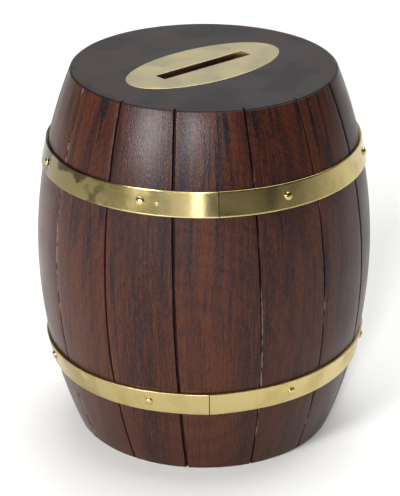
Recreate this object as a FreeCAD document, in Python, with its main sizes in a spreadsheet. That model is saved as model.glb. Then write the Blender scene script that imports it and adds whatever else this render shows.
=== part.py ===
"""Wooden barrel money box: a turned and bored hardwood block, sawn with kerfs so that it looks
coopered, with two brass hoops pinned round it, a brass slot plate let into the top and a wooden base
disc held by three screws. Millimetres, +Z up, origin at the middle of the foot, +X along the slot."""

import FreeCAD, Part
import math
import os

import Sketcher
from FreeCAD import Placement, Rotation, Vector

# name, value in mm (degrees and counts where the note says so), what it is
SIZES = [
    ("barrel_height", 115.0, "height of the turned block"),
    ("belly_radius", 51.1, "outside radius at half height"),
    ("end_radius", 39.7, "outside radius at the top and at the foot"),
    ("rim_bevel", 0.4, "softening of the two outer rims"),
    ("kerf_count", 14, "sawn lines that divide the side into staves, a count"),
    ("kerf_width", 1.0, "width of the saw cut"),
    ("kerf_depth", 1.6, "depth of the saw cut below the side"),
    ("kerf_skew", 1.5, "lean of each saw cut from upright, degrees"),
    ("kerf_wander", 1.5, "largest error in marking out the kerfs, degrees"),
    ("bore_radius", 28.0, "coin space"),
    ("crown_thickness", 12.0, "wood left above the coin space"),
    ("rebate_radius", 35.0, "seat for the base disc"),
    ("rebate_depth", 6.25, "foot to the ledge that the base disc bears on"),
    ("plate_length", 55.8, "long axis of the oval slot plate"),
    ("plate_width", 27.6, "short axis of the oval slot plate"),
    ("plate_thickness", 0.8, "gauge of the slot plate"),
    ("slot_length", 34.0, "coin slot in the plate"),
    ("slot_width", 4.2, "coin slot in the plate and in the wood"),
    ("wood_slot_length", 32.0, "coin slot in the wood, which has round ends"),
    ("hoop_width", 7.5, "brass strip of the hoops"),
    ("hoop_thickness", 0.7, "gauge of the brass strip"),
    ("hoop_bedding", 0.02, "gap between strip and wood"),
    ("hoop_edge_bevel", 0.15, "softening of the strip's outer edges"),
    ("seam_gap", 0.3, "gap at the butt joint of each hoop"),
    ("upper_hoop_height", 89.8, "foot to the middle of the upper hoop"),
    ("lower_hoop_height", 27.5, "foot to the middle of the lower hoop"),
    ("pin_count", 7, "pins in each hoop, a count"),
    ("pin_head_radius", 1.25, "domed head"),
    ("pin_head_height", 0.8, "domed head"),
    ("pin_shank_radius", 0.6, "shank"),
    ("pin_shank_length", 9.0, "underside of the head to the point"),
    ("pin_point_length", 1.6, "tapered part of the shank"),
    ("disc_radius", 34.8, "base disc"),
    ("disc_thickness", 5.0, "base disc"),
    ("disc_chamfer", 0.6, "lower edge of the base disc"),
    ("screw_count", 3, "screws in the base disc, a count"),
    ("screw_circle_radius", 31.2, "pitch circle of the screws"),
    ("screw_length", 16.0, "head to point"),
    ("screw_head_radius", 2.6, "countersunk head"),
    ("screw_head_height", 1.6, "countersunk head"),
    ("screw_radius", 1.35, "outside of the thread"),
    ("screw_point_length", 3.0, "tapered point"),
    ("screw_slot_width", 0.7, "screwdriver slot"),
    ("screw_slot_depth", 0.8, "screwdriver slot"),
    ("turning_gap", 0.06, "gap round each screw, and between disc and ledge"),
]
# Bearings are degrees from +X, anticlockwise seen from above.
FRONT = -131.3  # the side that the hoops' joints face
FIRST_KERF = FRONT - 59.6
WANDER_STEP = 115.5  # phase of the marking error from one kerf to the next
WANDER_START = 66.5
# Each hoop: its height in the sheet, where its joint is, how far the row of pins is from even about
# the joint, and how far and towards which side the hoop was driven on crooked.
HOOPS = {
    "upper_hoop": {"height": "[upper_hoop_height]", "seam": FRONT + 5.0, "pin_shift": -1.1,
                   "lean": 0.6, "lean_towards": FRONT + 50.0},
    "lower_hoop": {"height": "[lower_hoop_height]", "seam": FRONT + 1.6, "pin_shift": 4.4,
                   "lean": 1.25, "lean_towards": FRONT + 110.0},
}
FIRST_SCREW = 90.0
BEYOND = 3.0  # how far a cutting outline runs past the solid that it cuts

doc = FreeCAD.newDocument("barrel_money_box")
sheet = doc.addObject("Spreadsheet::Sheet", "sizes")
for row, (alias, amount, note) in enumerate(SIZES, start=1):
    sheet.set(f"A{row}", alias)
    sheet.set(f"B{row}", str(amount))
    sheet.setAlias(f"B{row}", alias)
    sheet.set(f"C{row}", note)
doc.recompute()


def of_sheet(text):
    """text with every name of the sheet written as an expression reads it, longest names first."""
    for alias in sorted((name for name, _, _ in SIZES), key=len, reverse=True):
        text = text.replace(f"[{alias}]", f"sizes.{alias}")
    return text


def number(text):
    """What an expression comes to, as a plain number."""
    found = sheet.evalExpression(of_sheet(text))
    return float(getattr(found, "Value", found))


# The side is one arc through both rims and the belly, so these follow from three sizes.
SAGITTA = "([belly_radius]-[end_radius])"
SIDE_RADIUS = f"(({SAGITTA}^2+([barrel_height]/2)^2)/(2*{SAGITTA}))"
SIDE_CENTRE = f"([belly_radius]-{SIDE_RADIUS})"


def side_sine(height):
    """Sine of the angle by which the side's normal tips up at a height above the foot."""
    return f"(({height}-[barrel_height]/2)/{SIDE_RADIUS})"


def side_cosine(height):
    return f"sqrt(1-{side_sine(height)}^2)"


def side_at(height):
    """Outside radius of the block at a height above the foot."""
    return f"({SIDE_CENTRE}+{SIDE_RADIUS}*{side_cosine(height)})"


def add_body(label):
    body = doc.addObject("PartDesign::Body", label)
    body.Label = label
    return body


def add_sketch(body, name, plane, offset=None):
    """A sketch on one of the body's own origin planes, moved from it by offset."""
    sketch = body.newObject("Sketcher::SketchObject", name)
    support = next(f for f in body.Origin.OriginFeatures if f.Role == plane)
    sketch.AttachmentSupport = [(support, "")]
    sketch.MapMode = "FlatFace"
    if offset is not None:
        sketch.AttachmentOffset = offset
    return sketch


def bind(sketch, kind, where, expression):
    """Adds a dimension to the sketch and binds it to the sheet."""
    index = sketch.addConstraint(Sketcher.Constraint(kind, *where, number(expression)))
    sketch.setExpression(f"Constraints[{index}]", of_sheet(expression))


def place_point(sketch, side, point, x, y=None):
    """Fixes a side's start (point 1) or centre (point 3) at (x, y). Zero puts it on the axis."""
    for kind, text, axis in (("DistanceX", x, -2), ("DistanceY", y, -1)):
        if text == "0":
            sketch.addConstraint(Sketcher.Constraint("PointOnObject", side, point, axis))
        elif text is not None:
            bind(sketch, kind, (-1, 1, side, point), text)


def outline(sketch, corners, arcs=None):
    """A closed outline through corners, which are pairs of expressions. A side is straight unless
    arcs gives the x of its centre; it then runs anticlockwise from its own corner to the next."""
    arcs = arcs or {}
    points = [Vector(number(x), number(y), 0) for x, y in corners]
    count = len(points)
    for side in range(count):
        start, end = points[side], points[(side + 1) % count]
        if side in arcs:
            middle, chord = (start + end) / 2, end - start
            across = Vector(-chord.y, chord.x, 0)
            centre = middle + across * ((number(arcs[side]) - middle.x) / across.x)
            first = math.atan2(start.y - centre.y, start.x - centre.x)
            last = math.atan2(end.y - centre.y, end.x - centre.x)
            whole = Part.Circle(centre, Vector(0, 0, 1), (start - centre).Length)
            sketch.addGeometry(Part.ArcOfCircle(whole, first, last))
        else:
            sketch.addGeometry(Part.LineSegment(start, end))
    for side in range(count):
        following = (side + 1) % count
        sketch.addConstraint(Sketcher.Constraint("Coincident", side, 2, following, 1))
    for side, (x, y) in enumerate(corners):
        place_point(sketch, side, 1, x, y)
    for side, x in arcs.items():
        place_point(sketch, side, 3, x)


def circle(sketch, x, radius):
    """A circle whose centre is on the sketch's horizontal axis."""
    whole = Part.Circle(Vector(number(x), 0, 0), Vector(0, 0, 1), number(radius))
    place_point(sketch, sketch.addGeometry(whole), 3, x, "0")
    bind(sketch, "Radius", (0,), radius)


def ellipse(sketch, length, width):
    """An ellipse centred on the origin with its long axis along the sketch's horizontal axis."""
    half_length, half_width = number(length) / 2, number(width) / 2
    side = sketch.addGeometry(
        Part.Ellipse(Vector(half_length, 0, 0), Vector(0, half_width, 0), Vector(0, 0, 0))
    )
    sketch.exposeInternalGeometry(side)
    long_axis, short_axis = side + 1, side + 2
    sketch.addConstraint(Sketcher.Constraint("Coincident", side, 3, -1, 1))
    sketch.addConstraint(Sketcher.Constraint("Horizontal", long_axis))
    bind(sketch, "Distance", (long_axis,), length)
    bind(sketch, "Distance", (short_axis,), width)


def rounded_slot(sketch, length, width):
    """A slot with round ends, centred on the origin, along the sketch's horizontal axis."""
    straight, radius = f"(({length}-{width})/2)", f"({width}/2)"
    corners = [
        (f"-{straight}", f"-{radius}"),
        (straight, f"-{radius}"),
        (straight, radius),
        (f"-{straight}", radius),
    ]
    outline(sketch, corners, {1: straight, 3: f"-{straight}"})


def add_feature(body, kind, name, sketch, lengths=None, **settings):
    """A sketch-based feature, with its lengths bound to the sheet."""
    feature = body.newObject(f"PartDesign::{kind}", name)
    feature.Profile = (sketch, [""])
    for prop, value in settings.items():
        setattr(feature, prop, value)
    for prop, expression in (lengths or {}).items():
        setattr(feature, prop, number(expression))
        feature.setExpression(prop, of_sheet(expression))
    sketch.Visibility = False
    return feature


def turn(body, name, sketch, kind="Revolution", lengths=None):
    """Turns an outline about the upright axis of its sketch, as on a lathe."""
    return add_feature(
        body, kind, name, sketch, lengths, ReferenceAxis=(sketch, ["V_Axis"])
    )


def repeat(body, name, feature, count):
    """Repeats a cut evenly about the body's upright axis."""
    pattern = body.newObject("PartDesign::PolarPattern", name)
    pattern.Originals = [feature]
    upright = next(f for f in body.Origin.OriginFeatures if f.Role == "Z_Axis")
    pattern.Axis = (upright, [""])
    pattern.Angle = 360
    pattern.Occurrences = int(number(f"[{count}]"))
    pattern.setExpression("Occurrences", of_sheet(f"[{count}]"))
    body.Tip = pattern
    return pattern


def turned_by(degrees):
    return Placement(Vector(0, 0, 0), Rotation(Vector(0, 0, 1), degrees))


def hoop_frame(hoop):
    """Where a hoop's own frame stands: its joint at its bearing, and the hoop leant about the point
    of the axis that the side's normals meet, so that it still beds on the wood all round."""
    facts = HOOPS[hoop]
    height = facts["height"]
    tangent = number(f"{side_sine(height)}/{side_cosine(height)}")
    pivot = Vector(0, 0, number(height) - number(side_at(height)) * tangent)
    towards = math.radians(facts["lean_towards"])
    axis = Vector(math.sin(towards), -math.cos(towards), 0)
    return Placement(Vector(0, 0, 0), Rotation(axis, facts["lean"]), pivot) * turned_by(facts["seam"])


def pin_seat(hoop, index):
    """Where a pin's head sits on a hoop, in the hoop's own frame, with +Z out along the pin."""
    height = HOOPS[hoop]["height"]
    out = number(f"[hoop_bedding]+[hoop_thickness]")
    sine, cosine = number(side_sine(height)), number(side_cosine(height))
    radius = number(side_at(height)) + out * cosine
    spot = Vector(radius, 0, number(height) + out * sine)
    outward = Rotation(Vector(0, 0, 1), Vector(cosine, 0, sine))
    step = 360 / number("[pin_count]")
    bearing = HOOPS[hoop]["pin_shift"] + step * (index + 0.5)
    return turned_by(bearing) * Placement(spot, outward)


def screw_seat(index):
    """Where a base screw's head sits, with +Z up along the screw."""
    foot = Vector(number("[screw_circle_radius]"), 0, number(DISC_BOTTOM))
    return turned_by(FIRST_SCREW + 360 * index / number("[screw_count]")) * Placement(foot, Rotation())


DISC_BOTTOM = "([rebate_depth]-[turning_gap]-[disc_thickness])"


def pins():
    """Every hoop pin as (label, hoop, index)."""
    for hoop in HOOPS:
        for index in range(int(number("[pin_count]"))):
            yield f"{hoop}_pin_{index + 1}", hoop, index


def kerf_plane(index):
    """Offset of a kerf's sketch from the XZ plane: turned to its bearing, and leant about the
    radius at half height."""
    count = number("[kerf_count]")
    phase = math.radians(WANDER_STEP * index + WANDER_START)
    bearing = FIRST_KERF + 360 * index / count + number("[kerf_wander]") * math.sin(phase)
    turned = Rotation(Vector(0, 1, 0), bearing)
    leant = Rotation(Vector(1, 0, 0), number("[kerf_skew]"))
    half_height = Vector(0, number("[barrel_height]/2"), 0)
    return Placement(Vector(0, 0, 0), turned * leant, half_height)


def barrel():
    """The block, turned outside, bored from the foot, sawn, slotted and drilled."""
    body = add_body("barrel")
    side = add_sketch(body, "side_outline", "XZ_Plane")
    below, above = "[rim_bevel]", "([barrel_height]-[rim_bevel])"
    corners = [("0", "0"), ("([end_radius]-[rim_bevel])", "0"), (side_at(below), below),
               (side_at(above), above), ("([end_radius]-[rim_bevel])", "[barrel_height]"),
               ("0", "[barrel_height]")]
    outline(side, corners, {2: SIDE_CENTRE})
    turn(body, "turned_block", side)

    floor = f"({SIDE_CENTRE}+sqrt(({SIDE_RADIUS}-[kerf_depth])^2-([barrel_height]/2)^2))"
    outside, below, above = f"([belly_radius]+{BEYOND})", f"-{BEYOND}", f"([barrel_height]+{BEYOND})"
    for index in range(int(number("[kerf_count]"))):
        kerf = add_sketch(body, f"kerf_outline_{index + 1}", "XZ_Plane", kerf_plane(index))
        corners = [(floor, "0"), (floor, "[barrel_height]"), (floor, above), (outside, above),
                   (outside, below), (floor, below)]
        outline(kerf, corners, {0: SIDE_CENTRE})
        add_feature(body, "Pocket", f"kerf_{index + 1}", kerf, {"Length": "[kerf_width]"},
                    SideType="Symmetric")

    inside = add_sketch(body, "bore_outline", "XZ_Plane")
    ceiling = "([barrel_height]-[crown_thickness])"
    corners = [("0", f"-{BEYOND}"), ("[rebate_radius]", f"-{BEYOND}"),
               ("[rebate_radius]", "[rebate_depth]"), ("[bore_radius]", "[rebate_depth]"),
               ("[bore_radius]", ceiling), ("0", ceiling)]
    outline(inside, corners)
    turn(body, "bored_coin_space", inside, "Groove")

    top = Placement(Vector(0, 0, number("[barrel_height]")), Rotation())
    recess = add_sketch(body, "plate_recess_outline", "XY_Plane", top)
    ellipse(recess, "[plate_length]", "[plate_width]")
    add_feature(body, "Pocket", "plate_recess", recess, {"Length": "[plate_thickness]"})

    slot = add_sketch(body, "wood_slot_outline", "XY_Plane", top)
    rounded_slot(slot, "[wood_slot_length]", "[slot_width]")
    add_feature(body, "Pocket", "wood_slot", slot, {"Length": f"[crown_thickness]+{BEYOND}"})

    for label, hoop, index in pins():
        place = hoop_frame(hoop) * pin_seat(hoop, index)
        hole = add_sketch(body, f"{label}_hole_outline", "XY_Plane", place)
        circle(hole, "0", "[pin_shank_radius]")
        add_feature(body, "Pocket", f"{label}_hole", hole, {"Length": "[pin_shank_length]"})

    ledge = Placement(Vector(0, 0, number("[rebate_depth]")), turned_by(FIRST_SCREW).Rotation)
    pilot = add_sketch(body, "screw_hole_outline", "XY_Plane", ledge)
    circle(pilot, "[screw_circle_radius]", "[screw_radius]+[turning_gap]")
    depth = f"{DISC_BOTTOM}+[screw_length]+1-[rebate_depth]"
    hole = add_feature(body, "Pocket", "screw_hole", pilot, {"Length": depth}, Reversed=True)
    repeat(body, "screw_holes", hole, "screw_count")
    return body


def slot_plate():
    """Oval brass plate let in flush with the top, with a square-ended slot."""
    body = add_body("slot_plate")
    underside = Placement(Vector(0, 0, number("[barrel_height]-[plate_thickness]")), Rotation())
    oval = add_sketch(body, "plate_outline", "XY_Plane", underside)
    ellipse(oval, "[plate_length]", "[plate_width]")
    add_feature(body, "Pad", "plate", oval, {"Length": "[plate_thickness]"})
    mouth = add_sketch(body, "slot_outline", "XY_Plane", underside)
    half_length, half_width = "[slot_length]/2", "[slot_width]/2"
    corners = [(f"-{half_length}", f"-{half_width}"), (half_length, f"-{half_width}"),
               (half_length, half_width), (f"-{half_length}", half_width)]
    outline(mouth, corners)
    add_feature(body, "Pocket", "slot", mouth, {"Length": "[plate_thickness]"}, Reversed=True)
    return body


def hoop(name):
    """A flat brass strip bent round the block, butted at one joint and drilled for its pins."""
    height = HOOPS[name]["height"]
    sine, cosine, radius = side_sine(height), side_cosine(height), side_at(height)
    body = add_body(name)
    strip = add_sketch(body, "strip_outline", "XZ_Plane")
    inner, outer = "[hoop_bedding]", "([hoop_bedding]+[hoop_thickness])"
    shoulder, flat = f"({outer}-[hoop_edge_bevel])", "([hoop_width]/2-[hoop_edge_bevel])"
    edge = "([hoop_width]/2)"
    section = [(f"(-{edge})", inner), (f"(-{edge})", shoulder), (f"(-{flat})", outer),
               (flat, outer), (edge, shoulder), (edge, inner)]
    corners = [(f"{radius}+{out}*{cosine}-{along}*{sine}", f"{height}+{out}*{sine}+{along}*{cosine}")
               for along, out in section]
    outline(strip, corners)
    turn(body, "bent_strip", strip, lengths={"Angle": f"360-[seam_gap]/{radius}*180/pi"})
    # The strip starts at +X, so the body is turned by half the gap to centre the joint there.
    half_gap = turned_by(number(f"[seam_gap]/{radius}*90/pi"))
    seat = half_gap.inverse() * pin_seat(name, 0)
    hole = add_sketch(body, "pin_hole_outline", "XY_Plane", seat)
    circle(hole, "0", "[pin_shank_radius]")
    depth = {"Length": f"[hoop_thickness]+{BEYOND}"}
    first = add_feature(body, "Pocket", "pin_hole", hole, depth)
    repeat(body, "pin_holes", first, "pin_count")
    body.Placement = hoop_frame(name) * half_gap
    return body


def hoop_pin(label, name, index):
    """A domed brass pin, driven through the hoop into the wood."""
    body = add_body(label)
    half = add_sketch(body, "pin_outline", "XZ_Plane")
    tip, shoulder = "-[pin_shank_length]", "-([pin_shank_length]-[pin_point_length])"
    corners = [("0", tip), ("[pin_shank_radius]", shoulder), ("[pin_shank_radius]", "0"),
               ("[pin_head_radius]", "0"), ("0", "[pin_head_height]")]
    outline(half, corners, {3: "0"})
    turn(body, "pin", half)
    body.Placement = hoop_frame(name) * pin_seat(name, index)
    return body


def base_disc():
    """The wooden disc that closes the coin space, countersunk from below for its screws."""
    body = add_body("base_disc")
    half = add_sketch(body, "disc_outline", "XZ_Plane")
    top = f"({DISC_BOTTOM}+[disc_thickness])"
    corners = [("0", DISC_BOTTOM), ("[disc_radius]-[disc_chamfer]", DISC_BOTTOM),
               ("[disc_radius]", f"{DISC_BOTTOM}+[disc_chamfer]"), ("[disc_radius]", top),
               ("0", top)]
    outline(half, corners)
    turn(body, "disc", half)
    for index in range(int(number("[screw_count]"))):
        seat = screw_seat(index)
        upright = Placement(seat.Base, seat.Rotation * Rotation(Vector(1, 0, 0), 90))
        sink = add_sketch(body, f"screw_hole_outline_{index + 1}", "XY_Plane", upright)
        hole, mouth = "([screw_radius]+[turning_gap])", "([screw_head_radius]+[turning_gap])"
        corners = [("0", f"-{BEYOND}"), (mouth, f"-{BEYOND}"), (mouth, "0"),
                   (hole, "[screw_head_height]"), (hole, f"[disc_thickness]+{BEYOND}"),
                   ("0", f"[disc_thickness]+{BEYOND}")]
        outline(sink, corners)
        turn(body, f"screw_hole_{index + 1}", sink, "Groove")
    return body


def base_screw(index):
    """A slotted countersunk wood screw, standing on its head in the base disc."""
    body = add_body(f"base_screw_{index + 1}")
    half = add_sketch(body, "screw_outline", "XZ_Plane")
    corners = [("0", "0"), ("[screw_head_radius]", "0"), ("[screw_radius]", "[screw_head_height]"),
               ("[screw_radius]", "[screw_length]-[screw_point_length]"), ("0", "[screw_length]")]
    outline(half, corners)
    turn(body, "screw", half)
    groove = add_sketch(body, "slot_outline", "XY_Plane")
    reach, side = "([screw_head_radius]+1)", "[screw_slot_width]/2"
    outline(groove, [(f"-{reach}", f"-{side}"), (reach, f"-{side}"), (reach, side),
                     (f"-{reach}", side)])
    depth = {"Length": "[screw_slot_depth]"}
    add_feature(body, "Pocket", "screwdriver_slot", groove, depth, Reversed=True)
    body.Placement = screw_seat(index)
    return body


def build():
    made = [barrel(), slot_plate()]
    made += [hoop(name) for name in HOOPS]
    made += [hoop_pin(label, name, index) for label, name, index in pins()]
    made.append(base_disc())
    made += [base_screw(index) for index in range(int(number("[screw_count]")))]
    doc.recompute()
    return made


def check(bodies):
    """Stops if a feature failed or a piece isn't one valid closed solid."""
    for thing in doc.Objects:
        if "Invalid" in thing.State or "Error" in thing.State:
            raise RuntimeError(f"{thing.Label} failed: {thing.State}")
    for body in bodies:
        shape = body.Shape
        if shape.isNull() or not shape.isValid() or len(shape.Solids) != 1:
            raise RuntimeError(f"{body.Label} isn't one valid solid")


def write(bodies):
    os.makedirs("parts", exist_ok=True)
    for body in bodies:
        body.Shape.exportStep(f"parts/{body.Label}.step")
        box = body.Shape.BoundBox
        size = f"{box.XLength:.1f} x {box.YLength:.1f} x {box.ZLength:.1f}"
        print(f"{body.Label}: {body.Shape.Volume:.1f} mm3, {size} mm")


bodies = build()
check(bodies)
write(bodies)
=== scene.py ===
"""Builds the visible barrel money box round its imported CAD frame: turned and sawn hardwood block,
pinned brass hoops, inlaid brass slot plate, screwed base disc, and a plain studio."""

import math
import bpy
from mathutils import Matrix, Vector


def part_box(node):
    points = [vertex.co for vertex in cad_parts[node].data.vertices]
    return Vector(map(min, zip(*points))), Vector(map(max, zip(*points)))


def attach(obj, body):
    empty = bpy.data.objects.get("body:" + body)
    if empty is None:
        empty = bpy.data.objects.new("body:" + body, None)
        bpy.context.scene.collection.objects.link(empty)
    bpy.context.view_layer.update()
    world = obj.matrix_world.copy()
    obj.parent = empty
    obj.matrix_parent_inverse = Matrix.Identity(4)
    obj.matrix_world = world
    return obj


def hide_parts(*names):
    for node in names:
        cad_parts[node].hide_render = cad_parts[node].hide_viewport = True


bl_info = {
    "name": "Barrel Money Box",
    "version": (1, 0, 0),
    "blender": (4, 5, 0),
    "location": "View3D > Sidebar > Money Box",
    "description": "Turned hardwood barrel money box with brass hoops and slot plate",
    "category": "Add Mesh",
}

import bpy
import numpy as np
from mathutils import Matrix, Vector

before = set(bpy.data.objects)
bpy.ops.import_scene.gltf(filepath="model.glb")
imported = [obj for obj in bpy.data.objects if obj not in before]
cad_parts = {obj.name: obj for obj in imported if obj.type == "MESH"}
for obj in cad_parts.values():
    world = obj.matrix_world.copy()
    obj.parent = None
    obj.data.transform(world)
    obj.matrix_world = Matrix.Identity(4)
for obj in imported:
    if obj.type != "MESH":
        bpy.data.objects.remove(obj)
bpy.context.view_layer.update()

MM = 0.001

# Sizes that the frame gives.
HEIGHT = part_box("barrel")[1][2]
BELLY_RADIUS = min(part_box("barrel")[1][0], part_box("barrel")[1][1])
PLATE_LOW, PLATE_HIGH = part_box("slot_plate")
DISC_LOW, DISC_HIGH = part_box("base_disc")
SCREW_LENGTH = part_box("base_screw_1")[1][2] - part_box("base_screw_1")[0][2]

# Sizes and clearances that the frame's boxes don't give.
CROWN = 12.0 * MM  # wood over the coin bore
BORE_RADIUS = 28.0 * MM
REBATE_RADIUS = 35.0 * MM
WOOD_SLOT_LENGTH = 32.0 * MM
RECESS_GAP = 0.09 * MM  # round the slot plate
BEDDING = 0.02 * MM  # under the slot plate and the hoops
JOINT_HALF_GAP = 0.13 * MM
PILOT_RADIUS = 1.41 * MM  # in the block, for the base screws
SHANK_HOLE_RADIUS = 1.41 * MM  # in the disc
COUNTERSINK_RADIUS = 2.66 * MM
COUNTERSINK_DEPTH = 1.6 * MM

# Marks of hand work on the hoops.
JOINT_LIFT = 0.4 * MM  # of a strip's end off the wood
STRAIGHT_END = 12.0 * MM  # length that the bending missed
NICK_RADIUS = 0.3 * MM
NICK_DEPTH = 0.09 * MM

# Bearings are degrees from +X, anticlockwise from above.
FRONT = -131.3  # the side with the hoops' joints
KERF_COUNT = 14
FIRST_KERF = FRONT - 59.6
STAVE_COLUMNS = 12  # columns of the mesh between two kerfs
WANDER = 1.5  # greatest error, in degrees, in marking out the kerfs
WANDER_STEP = 115.5  # phase of that error from one kerf to the next
WANDER_START = 66.5
PIN_COUNT = 7
SCREW_COUNT = 3
FIRST_SCREW = 90.0
# Each hoop: middle height, bearing of its joint, how far its row of pins is off the joint, how far
# and towards which bearing it was driven on crooked, whether it is the polished one, and how far
# round from the joint it has a nick.
HOOPS = {
    "upper_hoop": {"height": 89.8 * MM, "seam": FRONT + 5.0, "pin_shift": -1.1, "lean": 0.6,
                   "lean_towards": FRONT + 50.0, "polished": True, "seed": 3, "nick": -21.0},
    "lower_hoop": {"height": 27.5 * MM, "seam": FRONT + 1.6, "pin_shift": 4.4, "lean": 1.25,
                   "lean_towards": FRONT + 110.0, "polished": False, "seed": 8, "nick": -38.0},
}


class MoneyBoxSizes(bpy.types.PropertyGroup):
    """Sizes that change the shape within the frame."""

    end_radius: bpy.props.FloatProperty(
        name="End radius", description="Outside radius at the top and at the foot",
        default=39.7 * MM, unit="LENGTH")
    rim_round: bpy.props.FloatProperty(
        name="Rim rounding", description="Radius worn on the outer rims",
        default=0.45 * MM, unit="LENGTH")
    kerf_width: bpy.props.FloatProperty(
        name="Kerf width", description="Width of the saw cuts between the staves",
        default=0.9 * MM, unit="LENGTH")
    kerf_depth: bpy.props.FloatProperty(
        name="Kerf depth", description="Depth of the saw cuts between the staves",
        default=1.6 * MM, unit="LENGTH")
    kerf_skew: bpy.props.FloatProperty(
        name="Kerf skew", description="Lean of the saw cuts from upright",
        default=math.radians(1.5), subtype="ANGLE")
    hoop_width: bpy.props.FloatProperty(
        name="Hoop width", description="Width of the brass strip",
        default=7.5 * MM, unit="LENGTH")
    hoop_thickness: bpy.props.FloatProperty(
        name="Hoop thickness", description="Gauge of the brass strip",
        default=0.7 * MM, unit="LENGTH")
    slot_length: bpy.props.FloatProperty(
        name="Slot length", description="Coin slot in the brass plate",
        default=34.0 * MM, unit="LENGTH")
    slot_width: bpy.props.FloatProperty(
        name="Slot width", description="Coin slot in the brass plate and the wood",
        default=4.2 * MM, unit="LENGTH")
    pin_head_radius: bpy.props.FloatProperty(
        name="Pin head radius", description="Domed heads of the hoop pins",
        default=1.25 * MM, unit="LENGTH")


def from_hex(text):
    """An sRGB hex colour as linear red, green, blue and 1."""
    srgb = np.array([int(text[i : i + 2], 16) for i in (0, 2, 4)]) / 255
    linear = np.where(srgb <= 0.04045, srgb / 12.92, ((srgb + 0.055) / 1.055) ** 2.4)
    return (*linear.tolist(), 1.0)


def colour(name, description, text):
    """A colour property with its default given in sRGB hex."""
    return bpy.props.FloatVectorProperty(
        name=name, description=description, default=from_hex(text), size=4,
        subtype="COLOR", min=0.0, max=1.0)


class MoneyBoxColours(bpy.types.PropertyGroup):
    """Colours of the finishes."""

    heartwood: colour("Heartwood", "Main colour of the hardwood", "2D1711")
    lightwood: colour("Light wood", "Paler red-brown between the streaks", "462417")
    # Also the colour of the painted shade on the top rim and in the kerfs.
    streak_and_shade: colour("Streak", "Near-black mineral streaks", "161217")
    end_grain: colour("End grain", "Sealed end grain of the top", "2D2728")
    polish: colour("Dried polish", "Residue left in the kerfs", "7A7166")
    brass: colour("Brass", "Clean brass", "C8B67E")
    pale_brass: colour("Pale brass", "Linished sheet of the slot plate", "CFC49D")
    dull_brass: colour("Dull brass", "Brass where it has toned down", "9A8450")
    # Colour of the painted dark reflection on the hoops' left side as seen from the front.
    dark_reflection_brass: colour("Stained brass", "Brass where it has been handled most", "423C26")


# ---------------------------------------------------------------- meshes


def wobble(where, seed, turns=(1, 2, 3, 5, 8)):
    """Smooth noise of about unit height over 0 to 1, which joins up at its ends: a sum of sines
    with a whole number of turns each, whose phases come from the seed."""
    phases = np.random.default_rng(seed).uniform(0, 2 * np.pi, len(turns))
    waves = [np.sin(2 * np.pi * n * where + p) / n**0.5 for n, p in zip(turns, phases)]
    return np.sum(waves, axis=0) / len(turns) ** 0.5


def new_piece(name, points, closed=False, attributes=None):
    """A mesh object from a grid of points, rings by columns by 3, in metres. Each ring closes on
    itself. The last ring joins the first if closed, and otherwise both end rings are filled. The
    faces are turned outwards if the enclosed volume comes out negative."""
    rings, columns = points.shape[:2]
    index = np.arange(rings * columns).reshape(rings, columns)
    here = index if closed else index[:-1]
    above = np.roll(index, -1, axis=0) if closed else index[1:]
    quads = np.stack([here, np.roll(here, -1, 1), np.roll(above, -1, 1), above], -1).reshape(-1, 4)
    faces = quads.tolist()
    if not closed:
        faces += [index[0][::-1].tolist(), index[-1].tolist()]
    flat = points.reshape(-1, 3)
    a, b, c, d = (flat[quads[:, i]] for i in range(4))
    volume = np.sum(a * np.cross(b, c)) + np.sum(a * np.cross(c, d))
    if volume < 0:
        faces = [face[::-1] for face in faces]
    mesh = bpy.data.meshes.new(name)
    mesh.from_pydata(flat.tolist(), [], faces)
    for label, values in (attributes or {}).items():
        layer = mesh.attributes.new(label, "FLOAT", "POINT")
        layer.data.foreach_set("value", values.astype(np.float32).ravel())
    piece = bpy.data.objects.new(name, mesh)
    bpy.context.collection.objects.link(piece)
    return piece


def smooth(piece, sharp=35):
    """Smooth shading, with edges sharper than this many degrees kept."""
    piece.data.polygons.foreach_set("use_smooth", np.ones(len(piece.data.polygons), bool))
    piece.data.set_sharp_from_angle(angle=math.radians(sharp))


def cut_away(piece, cutters):
    """Takes the cutters out of a piece and removes them."""
    for cutter in cutters:
        cut = piece.modifiers.new("cut", "BOOLEAN")
        cut.operation = "DIFFERENCE"
        cut.solver = "EXACT"
        cut.object = cutter
    bpy.context.view_layer.update()
    depsgraph = bpy.context.evaluated_depsgraph_get()
    result = bpy.data.meshes.new_from_object(piece.evaluated_get(depsgraph), depsgraph=depsgraph)
    piece.modifiers.clear()
    old = piece.data
    result.name = piece.name
    piece.data = result
    bpy.data.meshes.remove(old)
    for cutter in cutters:
        bpy.data.objects.remove(cutter)


def turned(profile, columns):
    """A profile, pairs of radius and height, turned about Z: rings by columns by 3."""
    radius, height = np.asarray(profile, float).T
    angle = np.linspace(0, 2 * np.pi, columns, endpoint=False)
    x, y = np.outer(radius, np.cos(angle)), np.outer(radius, np.sin(angle))
    return np.stack([x, y, np.broadcast_to(height[:, None], x.shape)], -1)


def moved(points, matrix):
    """A grid of points put through a 4 x 4 matrix."""
    m = np.array(matrix)
    return points @ m[:3, :3].T + m[:3, 3]


def arc_radius(sizes):
    """Radius of the side's arc: from its sagitta and its chord, which is the height."""
    sagitta = BELLY_RADIUS - sizes.end_radius
    return (sagitta**2 + (HEIGHT / 2) ** 2) / (2 * sagitta)


def side(sizes, height):
    """Outside radius at a height, on the arc through both rims and the belly."""
    radius = arc_radius(sizes)
    return BELLY_RADIUS - radius + np.sqrt(radius**2 - (height - HEIGHT / 2) ** 2)


def side_tilt(sizes, height):
    """Angle by which the side's normal tips up at a height."""
    return math.asin((height - HEIGHT / 2) / arc_radius(sizes))


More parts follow.
